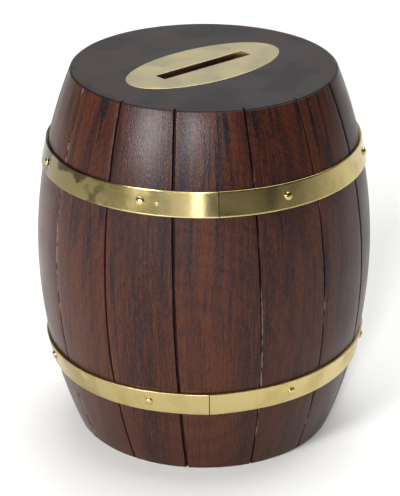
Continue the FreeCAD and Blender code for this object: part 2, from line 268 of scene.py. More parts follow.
def hoop_frame(sizes, hoop):
    """Where a hoop's own frame stands: its joint on +X, leant about the point of the axis that the
    side's normals meet, so that it beds on the wood all round."""
    facts = HOOPS[hoop]
    height = facts["height"]
    pivot = Vector((0, 0, height - side(sizes, height) * math.tan(side_tilt(sizes, height))))
    towards = math.radians(facts["lean_towards"])
    axis = Vector((math.sin(towards), -math.cos(towards), 0))
    lean = Matrix.Rotation(math.radians(facts["lean"]), 4, axis)
    seam = Matrix.Rotation(math.radians(facts["seam"]), 4, "Z")
    return Matrix.Translation(pivot) @ lean @ Matrix.Translation(-pivot) @ seam


# ---------------------------------------------------------------- finishes


def add_node(tree, kind, inputs=None, **settings):
    """Adds a shader node with its settings, and sets or links its inputs by name or number."""
    node = tree.nodes.new(kind)
    for name, value in settings.items():
        setattr(node, name, value)
    for socket, value in (inputs or {}).items():
        if isinstance(value, bpy.types.NodeSocket):
            tree.links.new(value, node.inputs[socket])
        else:
            node.inputs[socket].default_value = value
    return node


def new_finish(name):
    """An empty material and its node tree."""
    material = bpy.data.materials.new(name)
    material.use_nodes = True
    material.node_tree.nodes.clear()
    return material, material.node_tree


def noise_patterns(tree, sizes):
    """Named noise patterns. Each has its places, its marks' width and upright length in
    millimetres, its detail, and how strong the finest of that detail is."""
    patterns = {}
    for name, (place, across, along, detail, fineness) in sizes.items():
        fit = (1 / (across * MM), 1 / (across * MM), 1 / (along * MM))
        fitted = add_node(tree, "ShaderNodeMapping", {"Vector": place, "Scale": fit})
        noise = add_node(tree, "ShaderNodeTexNoise",
                         {"Vector": fitted.outputs["Vector"], "Scale": 1.0, "Detail": detail,
                          "Roughness": fineness})
        patterns[name] = noise.outputs["Fac"]
    return patterns


def layered(tree, base, layers):
    """Lays colours over a base. Each layer is a pattern, the two values of it between which the
    colour comes in smoothly, how much of the colour shows at each, and the colour."""
    for pattern, low, high, least, most, tint in layers:
        amount = add_node(tree, "ShaderNodeMapRange",
                          {"Value": pattern, "From Min": low, "From Max": high, "To Min": least,
                           "To Max": most}, interpolation_type="SMOOTHSTEP")
        mix = add_node(tree, "ShaderNodeMix", {0: amount.outputs[0], 6: base, 7: tint},
                       data_type="RGBA")
        base = mix.outputs[2]
    return base


def bent_grain(tree, place):
    """Places along the grain, which wanders by a few millimetres over a few centimetres."""
    long_way = add_node(tree, "ShaderNodeMapping",
                        {"Vector": place, "Scale": (1 / (34 * MM), 1 / (34 * MM), 1 / (80 * MM))})
    bend = add_node(tree, "ShaderNodeTexNoise",
                    {"Vector": long_way.outputs["Vector"], "Scale": 1.0, "Detail": 1.0})
    shifted = add_node(tree, "ShaderNodeVectorMath",
                       {0: bend.outputs["Color"], 1: (0.5, 0.5, 0.5)}, operation="SUBTRACT")
    bent = add_node(tree, "ShaderNodeVectorMath",
                    {0: shifted.outputs[0], 1: (4.5 * MM,) * 3, 2: place}, operation="MULTIPLY_ADD")
    return bent.outputs[0]


def streak_places(tree, grain):
    """Places for the streaks. They are sheets that run in towards the pith, so the side's taper
    doesn't chop them up: each place is moved straight out to a cylinder 48 mm in radius."""
    level = add_node(tree, "ShaderNodeVectorMath", {0: grain, 1: (0, 0, 1)}, operation="MULTIPLY")
    flat = add_node(tree, "ShaderNodeVectorMath", {0: grain, 1: (1, 1, 0)}, operation="MULTIPLY")
    outward = add_node(tree, "ShaderNodeVectorMath", {0: flat.outputs[0]}, operation="NORMALIZE")
    sheet = add_node(tree, "ShaderNodeVectorMath",
                     {0: outward.outputs[0], 1: (48 * MM,) * 3, 2: level.outputs[0]},
                     operation="MULTIPLY_ADD")
    return sheet.outputs[0]


def growth_rings(tree, grain):
    """Growth rings 1.3 mm apart about a pith 75 mm behind the middle. It leans towards the front
    going up, so the belly cuts them in arches."""
    front, lean = math.radians(FRONT), math.radians(8.5)
    centre = (75 * MM * math.cos(front), 75 * MM * math.sin(front), 0.0)
    upright = (lean * math.sin(front), -lean * math.cos(front), 0.0)
    leant = add_node(tree, "ShaderNodeMapping",
                     {"Vector": grain, "Location": centre, "Rotation": upright})
    rings = add_node(tree, "ShaderNodeTexWave",
                     {"Vector": leant.outputs["Vector"], "Scale": 2 * math.pi / (20 * 1.3 * MM),
                      "Distortion": 1.2, "Detail": 2.0, "Detail Scale": 0.2},
                     wave_type="RINGS", rings_direction="Z", wave_profile="SIN")
    return rings.outputs["Fac"]


def wood_finish(name, colours, dull=0.0):
    """Sheesham, turned, sanded and waxed: near-black streaks in red-brown heartwood along the grain,
    faint growth rings, open pores that break up the gloss, plainer end grain, painted shade on the
    rounded top rim and in the kerfs, and polish dried in the kerfs. The pores are drawn 0.34 mm
    wide, about three times as wide as real ones, so that they show."""
    material, tree = new_finish(name)
    surface = add_node(tree, "ShaderNodeTexCoord").outputs
    place = surface["Object"]
    grain = bent_grain(tree, place)
    sheet = streak_places(tree, grain)
    rings = growth_rings(tree, grain)
    marks = noise_patterns(tree, {
        "broad": (sheet, 13, 150, 3.0, 0.5),
        "bands": (sheet, 3.0, 60, 1.0, 0.5),
        "fibres": (sheet, 0.5, 12, 2.0, 0.6),
        "dashes": (sheet, 2.2, 26, 1.0, 0.5),
        "pores": (place, 0.34, 1.3, 1.5, 0.5),
        "patches": (place, 16, 16, 4.0, 0.5),
        "cloud": (place, 14, 14, 5.0, 0.5),
        "runs": (place, 16, 18, 1.0, 0.5),
        "crumbs": (place, 0.8, 2.4, 2.0, 0.5),
    })
    fibres, pores, cloud = marks["fibres"], marks["pores"], marks["cloud"]

    # The block is plainest round its lower half.
    level = add_node(tree, "ShaderNodeSeparateXYZ", {0: place}).outputs["Z"]
    banded, dashed = (add_node(tree, "ShaderNodeMapRange",
                               {"Value": level, "From Min": 30 * MM, "From Max": 92 * MM,
                                "To Min": 0.35 * most, "To Max": most},
                               interpolation_type="SMOOTHSTEP").outputs[0] for most in (0.6, 1.0))
    ragged = add_node(tree, "ShaderNodeMath", {0: fibres, 1: 0.25, 2: marks["dashes"]},
                      operation="MULTIPLY_ADD").outputs[0]
    wood = layered(tree, colours.heartwood, [
        (marks["broad"], 0.38, 0.62, 0.0, 1.0, colours.lightwood),
        (fibres, 0.50, 0.66, 0.0, 1.0, colours.lightwood),
        (rings, 0.55, 1.0, 0.0, 0.25, colours.streak_and_shade),
        (marks["bands"], 0.50, 0.66, 0.0, banded, colours.streak_and_shade),
        (fibres, 0.30, 0.48, 0.6, 0.0, colours.streak_and_shade),
        (ragged, 0.73, 0.79, 0.0, dashed, colours.streak_and_shade),
        (pores, 0.54, 0.66, 0.0, 0.55, colours.streak_and_shade),
        (pores, 0.32, 0.46, 0.7, 0.0, colours.lightwood),
    ])
    end = layered(tree, colours.end_grain, [
        (cloud, 0.42, 0.60, 0.0, 0.25, colours.lightwood),
        (rings, 0.2, 0.9, 0.0, 0.16, colours.streak_and_shade),
        (marks["patches"], 0.48, 0.58, 0.0, 0.65, colours.streak_and_shade),
        (pores, 0.52, 0.64, 0.0, 0.3, colours.streak_and_shade),
    ])

    # End grain shows where the surface faces up or down, and shade is painted on the rounded corner
    # of the top rim, where the surface slopes between the side and the top.
    upward = add_node(tree, "ShaderNodeSeparateXYZ", {0: surface["Normal"]}).outputs["Z"]
    level_on = add_node(tree, "ShaderNodeMath", {0: upward}, operation="ABSOLUTE").outputs[0]
    # Strength of the painted shade on the rounded rim corner, taken from how it slopes.
    corner = add_node(tree, "ShaderNodeMapRange",
                      {"Value": upward, "From Min": 0.90, "From Max": 0.99, "To Min": 0.8,
                       "To Max": 0.0}, interpolation_type="SMOOTHSTEP").outputs[0]

    # Shade is painted in the kerfs, darker the deeper they go, and polish has dried on their walls in
    # broken runs.
    kerf = add_node(tree, "ShaderNodeAttribute", attribute_name="kerf").outputs["Fac"]
    residue = add_node(tree, "ShaderNodeAttribute", attribute_name="residue").outputs["Fac"]
    held = add_node(tree, "ShaderNodeMath", {0: residue, 1: 0.24, 2: marks["runs"]},
                    operation="MULTIPLY_ADD").outputs[0]
    within = add_node(tree, "ShaderNodeMapRange",
                      {"Value": residue, "From Min": 0.1, "From Max": 0.3, "To Min": 0.0,
                       "To Max": 0.8}, interpolation_type="SMOOTHSTEP").outputs[0]
    broken = add_node(tree, "ShaderNodeMapRange",
                      {"Value": marks["crumbs"], "From Min": 0.42, "From Max": 0.54, "To Min": 0.0,
                       "To Max": within}, interpolation_type="SMOOTHSTEP").outputs[0]
    wood = layered(tree, wood, [
        (level_on, 0.75, 0.97, 0.0, 1.0, end),
        # Painted shade on the rounded top rim.
        (upward, 0.42, 0.55, 0.0, corner, colours.streak_and_shade),
        # Painted shade in the kerfs, darker with their depth.
        (kerf, 0.05, 0.5, 0.0, 0.65, colours.streak_and_shade),
        (held, 0.67, 0.76, 0.0, broken, colours.polish),
    ])

    waxed = add_node(tree, "ShaderNodeMapRange",
                     {"Value": cloud, "From Min": 0.3, "From Max": 0.7, "To Min": 0.27 + dull,
                      "To Max": 0.37 + dull}, interpolation_type="SMOOTHSTEP").outputs[0]
    gloss = add_node(tree, "ShaderNodeMath", {0: kerf, 1: 0.3, 2: waxed}, operation="MULTIPLY_ADD")
    relief = add_node(tree, "ShaderNodeMath", {0: fibres, 1: 0.3, 2: pores},
                      operation="MULTIPLY_ADD")
    bump = add_node(tree, "ShaderNodeBump",
                    {"Height": relief.outputs[0], "Strength": 0.9, "Distance": 0.07 * MM})
    shader = add_node(tree, "ShaderNodeBsdfPrincipled",
                      {"Base Color": wood, "Roughness": gloss.outputs[0],
                       "Normal": bump.outputs[0], "Specular IOR Level": 0.14,
                       "Coat Weight": 0.05, "Coat Roughness": 0.25})
    add_node(tree, "ShaderNodeOutputMaterial", {"Surface": shader.outputs[0]})
    return material


def brass_finish(name, colours, clean, roughness, scratch, tarnish, shaded=0.0):
    """Brass sheet or strip, rolled and then polished or linished: fine scratches, a low haze that
    changes from place to place, a browner tone in patches, and, as strong as asked, a painted dark
    reflection in patches on the side to the left as seen from the front. The scratches are drawn
    0.12 mm wide, several times as wide as real ones, so that they show."""
    material, tree = new_finish(name)
    place = add_node(tree, "ShaderNodeTexCoord").outputs["Object"]
    marks = noise_patterns(tree, {
        "patches": (place, 9, 9, 4.0, 0.5),
        "specks": (place, 0.8, 0.8, 3.0, 0.5),
        "scratches": (place, 6, 0.12, 3.0, 0.5),
        "waves": (place, 5, 5, 1.0, 0.5),
    })
    patches, specks = marks["patches"], marks["specks"]
    # Painted dark reflection: the side to the left as seen from the front is darkened in patches, as if
    # it reflected a dark room.
    dark_reflection_side = math.radians(FRONT - 90)
    reach = add_node(tree, "ShaderNodeVectorMath",
                     {0: place, 1: (math.cos(dark_reflection_side), math.sin(dark_reflection_side), 0.0)}, operation="DOT_PRODUCT")
    dark_reflection_amount = add_node(tree, "ShaderNodeMapRange",
                       {"Value": patches, "From Min": 0.44, "From Max": 0.50,
                        "To Min": 0.65 * shaded, "To Max": shaded},
                       interpolation_type="SMOOTHSTEP").outputs[0]
    metal = layered(tree, clean, [
        (patches, 0.40, 0.72, 0.0, tarnish, colours.dull_brass),
        (specks, 0.62, 0.76, 0.0, 0.5 * tarnish, colours.dull_brass),
        (reach.outputs["Value"], 12 * MM, 40 * MM, 0.0, dark_reflection_amount, colours.dark_reflection_brass),
    ])
    haze = add_node(tree, "ShaderNodeMapRange",
                    {"Value": patches, "From Min": 0.35, "From Max": 0.7,
                     "To Min": roughness * 0.8, "To Max": roughness * 1.25},
                    interpolation_type="SMOOTHSTEP")
    scratched = add_node(tree, "ShaderNodeMath", {0: marks["scratches"], 1: scratch, 2: marks["waves"]},
                         operation="MULTIPLY_ADD")
    relief = add_node(tree, "ShaderNodeMath", {0: specks, 1: 0.25, 2: scratched.outputs[0]},
                      operation="MULTIPLY_ADD")
    bump = add_node(tree, "ShaderNodeBump",
                    {"Height": relief.outputs[0], "Strength": 0.5, "Distance": 0.03 * MM})
    shader = add_node(tree, "ShaderNodeBsdfPrincipled",
                      {"Base Color": metal, "Metallic": 1.0, "Roughness": haze.outputs[0],
                       "Normal": bump.outputs[0]})
    add_node(tree, "ShaderNodeOutputMaterial", {"Surface": shader.outputs[0]})
    return material


def give(piece, material):
    """Gives a piece one finish."""
    piece.data.materials.clear()
    piece.data.materials.append(material)


# ---------------------------------------------------------------- pieces


def circle_outline(radius):
    """Radius of a circle at each bearing."""
    return lambda angle: np.full_like(angle, radius)


def ellipse_outline(half_length, half_width):
    """Radius of an ellipse at each bearing."""
    return lambda angle: half_length * half_width / np.hypot(
        half_width * np.cos(angle), half_length * np.sin(angle))


def box_outline(half_length, half_width):
    """Radius of a rectangle at each bearing."""
    return lambda angle: np.minimum(half_length / np.maximum(abs(np.cos(angle)), 1e-9),
                                    half_width / np.maximum(abs(np.sin(angle)), 1e-9))


def slot_outline(half_length, half_width):
    """Radius, at each bearing, of a slot with round ends: its straight sides, or past their ends
    the far crossing with the end's circle."""
    def radius(angle):
        straight = half_length - half_width
        across, along = abs(np.sin(angle)), abs(np.cos(angle))
        on_side = half_width / np.maximum(across, 1e-9)
        reach = np.sqrt(np.maximum(half_width**2 - (straight * across) ** 2, 0))
        return np.where(on_side * along <= straight, on_side, straight * along + reach)
    return radius


def between(first, second, share):
    """An outline part of the way from one to another."""
    return lambda angle: (1 - share) * first(angle) + share * second(angle)


def kerf_section(sizes):
    """A saw cut's section as offsets across and depths: rounded lips, walls that close in a little,
    and a flat floor."""
    across = np.array([1.5, 1.2, 1.03, 0.97, 0.94, 0.90, 0.72, 0.0]) * sizes.kerf_width / 2
    depth = np.array([0.0, 0.012, 0.06, 0.2, 0.6, 0.93, 1.0, 1.0]) * sizes.kerf_depth
    return (np.concatenate([-across, across[-2::-1]]), np.concatenate([depth, depth[-2::-1]]))


def barrel_angles(sizes, radius, height):
    """Bearings of every column at a height, their depths, and how much dried polish they hold. A
    kerf's columns are its section's offsets from a line that leans and wavers; the columns between
    two kerfs are evenly spaced from lip to lip."""
    across, depth = kerf_section(sizes)
    kerf = np.arange(KERF_COUNT)
    wander = WANDER * np.sin(np.radians(WANDER_STEP * kerf + WANDER_START))
    bearing = np.radians(FIRST_KERF + 360 * kerf / KERF_COUNT + wander)
    leant = -(height - HEIGHT / 2) * math.tan(sizes.kerf_skew)
    waver = np.array([wobble(height / HEIGHT, 40 + k, (2, 3, 5, 9, 17)) for k in kerf])
    width = np.array([wobble(height / HEIGHT, 80 + k, (3, 7, 13, 29)) for k in kerf])
    saw = 0.78 + 0.26 * np.cos(2 * np.pi * (kerf - 2) / 3)  # two saws: every third cut is coarse
    offset = leant + 0.10 * MM * waver[:, None] + across * (saw + 0.10 * width)[:, None]
    cut = bearing[:, None] + np.arcsin(offset / radius)
    first, last = cut[:, -1], np.append(cut[1:, 0], cut[0, 0] + 2 * np.pi)
    share = np.arange(1, STAVE_COLUMNS + 1) / (STAVE_COLUMNS + 1)
    stave = first[:, None] + (last - first)[:, None] * share
    # Behind, the saw was lifted early, so those cuts run out to a nick at the top rim.
    lifted = np.clip((height - (HEIGHT - 9 * MM)) / (8 * MM), 0, 1)
    behind = np.clip(-np.cos(bearing - math.radians(FRONT)) * 3, 0, 1)
    kept = 1 - 0.72 * lifted * behind
    # Polish has dried on the walls of the cuts, most of all in every third one.
    caught = np.where((kerf % 3 == 0)[:, None] & (depth > 0) & (depth < 0.7 * sizes.kerf_depth), 1.0,
                      0.35 * (depth > 0))
    plain = np.zeros((KERF_COUNT, STAVE_COLUMNS))
    depths = np.concatenate([depth * kept[:, None], plain], 1)
    return (np.concatenate([cut, stave], 1).ravel(), depths.ravel(),
            np.concatenate([caught, plain], 1).ravel())


def barrel_rings(sizes, recess, slot, bore, ledge):
    """The block's skin as rings: up the side, over the rim, across the top, down into the plate's
    recess and the slot, along the ceiling, down the bore and the rebate, and back over the foot.
    Each is an outline, a height, and whether the kerfs cut it."""
    rim, end = sizes.rim_round, sizes.end_radius
    bore_radius, ceiling = bore
    rebate_radius, ledge_height = ledge
    rings = [(circle_outline(side(sizes, z)), z, True)
             for z in np.linspace(rim, HEIGHT - rim, 131)]
    turn = np.radians([15, 30, 45, 60, 75, 90])
    rings += [(circle_outline(end - rim + rim * math.cos(a)), HEIGHT - rim + rim * math.sin(a), True)
              for a in turn]
    inner = circle_outline(end - sizes.kerf_depth - 0.15 * MM)
    mouth = circle_outline(bore_radius)
    seat = circle_outline(rebate_radius)
    floor = HEIGHT - recess[1]
    rings += [(between(inner, recess[0], t), HEIGHT, False) for t in np.linspace(0, 1, 12)]
    rings += [(recess[0], z, False) for z in np.linspace(HEIGHT - 0.1 * MM, floor, 4)]
    rings += [(between(recess[0], slot, t), floor, False) for t in np.linspace(0.2, 1, 5)]
    rings += [(slot, z, False) for z in np.linspace(floor, ceiling, 7)[1:]]
    rings += [(between(slot, mouth, t), ceiling, False) for t in np.linspace(0.2, 1, 5)]
    rings += [(mouth, z, False) for z in np.linspace(ceiling, ledge_height, 9)[1:]]
    rings += [(between(mouth, seat, t), ledge_height, False) for t in (0.33, 0.66, 1.0)]
    rings += [(seat, z, False) for z in np.linspace(ledge_height, 0.3 * MM, 4)[1:]]
    rings += [(circle_outline(rebate_radius + 0.3 * MM), 0.0, False), (inner, 0.0, False)]
    rings += [(circle_outline(end - rim + rim * math.cos(a)), rim - rim * math.sin(a), True)
              for a in turn[::-1]]
    return rings


def screw_places():
    """Middle of each base screw, from its node."""
    for index in range(1, SCREW_COUNT + 1):
        low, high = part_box(f"base_screw_{index}")
        yield index, (low[0] + high[0]) / 2, (low[1] + high[1]) / 2, low[2]


class MONEYBOX_OT_barrel(bpy.types.Operator):
    """Makes the turned, bored and sawn block"""

    bl_idname = "money_box.barrel"
    bl_label = "Barrel"

    def execute(self, context):
        sizes, colours = context.scene.money_box_sizes, context.scene.money_box_colours
        recess = (ellipse_outline(PLATE_HIGH[0] + RECESS_GAP, PLATE_HIGH[1] + RECESS_GAP),
                  HEIGHT - PLATE_LOW[2] + BEDDING)
        slot = slot_outline(WOOD_SLOT_LENGTH / 2, sizes.slot_width / 2)
        bore = (BORE_RADIUS, HEIGHT - CROWN)
        ledge = (REBATE_RADIUS, DISC_HIGH[2] + 0.06 * MM)
        rings = barrel_rings(sizes, recess, slot, bore, ledge)
        points, kerfs, residues = [], [], []
        for outline, height, sawn in rings:
            reach = side(sizes, min(max(height, 0.0), HEIGHT))
            angle, depth, caught = barrel_angles(sizes, reach, height)
            radius = outline(angle)
            if sawn:
                radius = np.minimum(radius, reach - depth)
            kerfs.append(depth / sizes.kerf_depth * sawn)
            residues.append(caught * sawn)
            points.append(np.stack([radius * np.cos(angle), radius * np.sin(angle),
                                    np.full_like(angle, height)], -1))
        attributes = {"kerf": np.array(kerfs), "residue": np.array(residues)}
        block = new_piece("turned_barrel", np.array(points), True, attributes)
        pilots = []
        for index, x, y, z in screw_places():
            profile = [(PILOT_RADIUS, 3.0 * MM), (PILOT_RADIUS, z + SCREW_LENGTH + 1.0 * MM)]
            place = Matrix.Translation((x, y, 0))
            pilots.append(new_piece(f"pilot_{index}", moved(turned(profile, 32), place)))
        cut_away(block, pilots)
        smooth(block)
        give(block, wood_finish("waxed_sheesham", colours))
        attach(block, "money_box")
        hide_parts("barrel")
        return {"FINISHED"}


class MONEYBOX_OT_plate(bpy.types.Operator):
    """Makes the oval brass slot plate let into the top"""

    bl_idname = "money_box.plate"
    bl_label = "Slot Plate"

    def execute(self, context):
        sizes, colours = context.scene.money_box_sizes, context.scene.money_box_colours
        top, under = HEIGHT, PLATE_LOW[2]
        long, wide = PLATE_HIGH[0], PLATE_HIGH[1]
        half_length, half_width = sizes.slot_length / 2, sizes.slot_width / 2
        corner = math.atan2(half_width, half_length)
        corners = [corner, np.pi - corner, np.pi + corner, 2 * np.pi - corner]
        angle = np.sort(np.append(np.linspace(0, 2 * np.pi, 300, endpoint=False), corners))
        edge = 0.12 * MM
        turn = np.radians(np.linspace(90, 0, 5))
        # The skin as rings: up the oval edge, over its rounded arris, across the top to the slot,
        # down the slot, and back across the underside.
        rings = [(ellipse_outline(long, wide), z) for z in (under, under + 0.2 * MM)]
        rings += [(ellipse_outline(long - edge * (1 - math.cos(a)), wide - edge * (1 - math.cos(a))),
                   top - edge * (1 - math.sin(a))) for a in turn[::-1]]
        lip = box_outline(half_length + edge, half_width + edge)
        oval = ellipse_outline(long - edge, wide - edge)
        rings += [(between(oval, lip, t), top) for t in np.linspace(0, 1, 14)[1:]]
        rings += [(box_outline(half_length + edge * (1 - math.cos(a)),
                               half_width + edge * (1 - math.cos(a))),
                   top - edge * (1 - math.sin(a))) for a in turn[1:]]
        rings += [(box_outline(half_length, half_width), z) for z in (top - 0.4 * MM, under)]
        flat = between(box_outline(half_length, half_width), ellipse_outline(long, wide), 0.5)
        rings += [(flat, under)]
        points = np.array([np.stack([outline(angle) * np.cos(angle), outline(angle) * np.sin(angle),
                                     np.full_like(angle, z)], -1) for outline, z in rings])
        plate = new_piece("inlaid_slot_plate", points, True)
        smooth(plate, 50)
        give(plate, brass_finish("linished_sheet_brass", colours, colours.pale_brass, roughness=0.34,
                                 scratch=0.6, tarnish=0.35))
        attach(plate, "money_box")
        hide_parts("slot_plate")
        return {"FINISHED"}


def strip_section(sizes):
    """A strip's section as offsets along its width and out from the wood: a rectangle with rounded
    outer edges and eased inner ones."""
    half, thick = sizes.hoop_width / 2, sizes.hoop_thickness
    soft, eased = 0.2 * MM, 0.08 * MM
    turn = np.radians(np.linspace(0, 90, 5))
    top_along, top_out = half - soft + soft * np.cos(turn), thick - soft + soft * np.sin(turn)
    face = np.linspace(half - soft, -(half - soft), 23)[1:-1]
    back = np.linspace(-(half - eased), half - eased, 7)
    low = np.linspace(eased, thick - soft, 3)
    along = [top_along, face, -top_along[::-1], [-half] * 2, back, [half] * 2]
    out = [top_out, np.full_like(face, thick), top_out[::-1], low[1::-1], np.zeros_like(back), low[:2]]
    return np.concatenate(along), np.concatenate(out)


class MONEYBOX_OT_hoops(bpy.types.Operator):
    """Makes the two brass hoops"""

    bl_idname = "money_box.hoops"
    bl_label = "Hoops"

    def execute(self, context):
        sizes, colours = context.scene.money_box_sizes, context.scene.money_box_colours
        # The polished hoop gets the full painted dark reflection, and the satin one gets about a third
        # of it.
        finishes = {
            True: brass_finish("polished_brass_strip", colours, colours.brass, roughness=0.18,
                               scratch=0.3, tarnish=0.45, shaded=1.0),
            False: brass_finish("satin_brass_strip", colours, colours.brass, roughness=0.36,
                                scratch=0.8, tarnish=0.4, shaded=0.35),
        }
        # A hoop is the strip's section carried round the circle of the side at its height, tipped
        # to lie on the side's slope, and then leant as a whole.
        for name, facts in HOOPS.items():
            height, tilt = facts["height"], side_tilt(sizes, facts["height"])
            radius = float(side(sizes, height))
            half_gap = JOINT_HALF_GAP / radius
            share = np.linspace(0, 1, 900)
            angle = half_gap + share * (2 * np.pi - 2 * half_gap)
            along, out = strip_section(sizes)
            # The strip was bent by hand, so its face is a little out of true all round.
            dents = 0.035 * MM * wobble(share, facts["seed"], (7, 11, 17, 23, 37))
            uneven = 0.05 * MM * wobble(share, facts["seed"] + 1, (3, 5, 9, 14))
            # The last of each end stayed straight when the strip was bent, so the joint stands proud.
            from_joint = radius * np.minimum(angle, 2 * np.pi - angle)
            proud = JOINT_LIFT * np.clip(1 - from_joint / STRAIGHT_END, 0, 1) ** 1.4
            outer = out[None, :] > sizes.hoop_thickness / 2
            lift = BEDDING + out[None, :] + proud[:, None] + dents[:, None] * outer
            run = along[None, :] + uneven[:, None]
            # The nick is a dent in the face, a bell curve both round the hoop and across it.
            past_nick = radius * (angle - 2 * np.pi - math.radians(facts["nick"]))[:, None]
            nick = np.exp(-(past_nick**2 + (run + 0.4 * MM) ** 2) / NICK_RADIUS**2)
            lift = lift - NICK_DEPTH * nick * outer
            reach = radius + lift * math.cos(tilt) - run * math.sin(tilt)
            level = height + lift * math.sin(tilt) + run * math.cos(tilt)
            points = np.stack([reach * np.cos(angle)[:, None], reach * np.sin(angle)[:, None],
                               level], -1)
            hoop = new_piece(f"brass_{name}", moved(points, hoop_frame(sizes, name)))
            smooth(hoop, 40)
            give(hoop, finishes[facts["polished"]])
            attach(hoop, "money_box")
            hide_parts(name)
        return {"FINISHED"}


def pin_profile(sizes):
    """A pin's outline from the top of its dome to its point, standing on Z = 0."""
    head, shank, rim, rise = sizes.pin_head_radius, 0.6 * MM, 0.12 * MM, 0.68 * MM
    turn = np.radians(np.linspace(2, 90, 11))
    dome = np.stack([head * np.sin(turn), rim + rise * np.cos(turn)], -1)
    foot = [(head - 0.03 * MM, 0.04 * MM), (head - 0.10 * MM, 0.0), (shank, 0.0)]
    nail = [(shank, -3.0 * MM), (shank, -7.4 * MM), (0.03 * MM, -8.95 * MM)]
    return np.concatenate([dome, foot, nail])


class MONEYBOX_OT_pins(bpy.types.Operator):
    """Makes the domed pins that hold the hoops"""

    bl_idname = "money_box.pins"
    bl_label = "Hoop Pins"

    def execute(self, context):
        sizes, colours = context.scene.money_box_sizes, context.scene.money_box_colours
        finish = brass_finish("polished_brass_pin", colours, colours.brass, roughness=0.2,
                              scratch=0.2, tarnish=0.4)
        for name, facts in HOOPS.items():
            height, tilt = facts["height"], side_tilt(sizes, facts["height"])
            out = BEDDING + sizes.hoop_thickness
            spot = Vector((side(sizes, height) + out * math.cos(tilt), 0, height + out * math.sin(tilt)))
            outward = Matrix.Rotation(math.pi / 2 - tilt, 4, "Y")
            for index in range(PIN_COUNT):
                bearing = math.radians(facts["pin_shift"] + 360 / PIN_COUNT * (index + 0.5))
                seat = Matrix.Rotation(bearing, 4, "Z") @ Matrix.Translation(spot) @ outward
                points = moved(turned(pin_profile(sizes), 32), hoop_frame(sizes, name) @ seat)
                pin = new_piece(f"domed_{name}_pin_{index + 1}", points)
                smooth(pin)
                give(pin, finish)
                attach(pin, "money_box")
                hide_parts(f"{name}_pin_{index + 1}")
        return {"FINISHED"}


class MONEYBOX_OT_base(bpy.types.Operator):
    """Makes the wooden disc that closes the foot"""

    bl_idname = "money_box.base"
    bl_label = "Base Disc"

    def execute(self, context):
        colours = context.scene.money_box_colours
        low, high, radius = DISC_LOW[2], DISC_HIGH[2], DISC_HIGH[0]
        ease = 0.6 * MM  # rounding of the lower edge
        turn = np.radians(np.linspace(0, 90, 5))
        lower = [(radius - ease + ease * math.sin(a), low + ease - ease * math.cos(a)) for a in turn]
        flat = [(r, low) for r in np.linspace(1 * MM, radius - ease, 12)[:-1]]
        upper = [(radius, z) for z in np.linspace(low + ease, high, 4)[1:]]
        back = [(r, high) for r in np.linspace(radius, 1 * MM, 12)[1:]]
        disc = new_piece("base_cover_disc", turned(flat + lower + upper + back, 128))
        sinks = []
        for index, x, y, z in screw_places():
            sink = [(COUNTERSINK_RADIUS + 0.06 * MM, low - 1 * MM), (COUNTERSINK_RADIUS, low),
                    (SHANK_HOLE_RADIUS, low + COUNTERSINK_DEPTH),
                    (SHANK_HOLE_RADIUS, high + 1 * MM)]
            place = Matrix.Translation((x, y, 0))
            sinks.append(new_piece(f"sink_{index}", moved(turned(sink, 48), place)))
        cut_away(disc, sinks)
        smooth(disc)
        give(disc, wood_finish("sealed_sheesham_disc", colours, dull=0.15))
        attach(disc, "base_disc")
        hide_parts("base_disc")
        return {"FINISHED"}


def screw_points():
    """A countersunk wood screw standing on its head. Its shank's radius is the root plus a
    triangular ridge that climbs one pitch each turn, and it narrows to a point."""
    head, shank, root, pitch = 2.55 * MM, 1.33 * MM, 0.95 * MM, 1.15 * MM
    height = np.concatenate([[0.0, 0.0, 0.0, 0.06 * MM], np.linspace(1.55 * MM, SCREW_LENGTH, 190)])
    limit = np.concatenate([[0.1 * MM, 1.3 * MM, head - 0.08 * MM, head], np.full(190, shank)])
    angle = np.linspace(0, 2 * np.pi, 40, endpoint=False)
    climb = (height[:, None] / pitch - angle[None, :] / (2 * np.pi)) % 1.0
    ridge = np.clip(1 - abs(climb - 0.5) * 3.2, 0, 1)
    threaded = np.clip((height - 4.0 * MM) / (1.0 * MM), 0, 1)[:, None]
    radius = limit[:, None] * (1 - threaded) + threaded * (root + (shank - root) * ridge)
    taper = np.clip((SCREW_LENGTH - height) / (3.0 * MM), 0.02, 1)[:, None]
    radius = radius * taper
    return np.stack([radius * np.cos(angle), radius * np.sin(angle),
                     np.broadcast_to(height[:, None], radius.shape)], -1)


class MONEYBOX_OT_screws(bpy.types.Operator):
    """Makes the screws that hold the base disc"""

    bl_idname = "money_box.screws"
    bl_label = "Base Screws"

    def execute(self, context):
        colours = context.scene.money_box_colours
        finish = brass_finish("turned_brass_screw", colours, colours.brass, roughness=0.28,
                              scratch=0.6, tarnish=0.7)
        for index, x, y, z in screw_places():
            bearing = FIRST_SCREW + 360 / SCREW_COUNT * (index - 1)
            turn = Matrix.Rotation(math.radians(bearing), 4, "Z")
            place = Matrix.Translation((x, y, z)) @ turn
            screw = new_piece(f"brass_base_screw_{index}", moved(screw_points(), place))
            blade = np.array([[(s * 4 * MM, t * 0.35 * MM, h * MM) for s, t in
                               ((-1, -1), (1, -1), (1, 1), (-1, 1))] for h in (-1, 0.8)])
            cut_away(screw, [new_piece("blade", moved(blade, place))])
            smooth(screw)
            give(screw, finish)
            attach(screw, f"base_screw_{index}")
            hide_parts(f"base_screw_{index}")
        return {"FINISHED"}


def add_light(name, bearing, elevation, distance, size, power, tint="FFFFFF"):
    """A rectangular soft light that faces the box from a bearing, in degrees, and an elevation."""
    data = bpy.data.lights.new(name, "AREA")
    data.shape = "RECTANGLE"
    data.size, data.size_y = size
    data.energy = power
    data.color = from_hex(tint)[:3]
    light = bpy.data.objects.new(name, data)
    bpy.context.collection.objects.link(light)
    around, up = math.radians(bearing), math.radians(elevation)
    where = Vector((math.cos(up) * math.cos(around), math.cos(up) * math.sin(around), math.sin(up)))
    target = Vector((0, 0, HEIGHT / 2))
    light.location = target + where * distance
    light.rotation_euler = (-where).to_track_quat("-Z", "Y").to_euler()


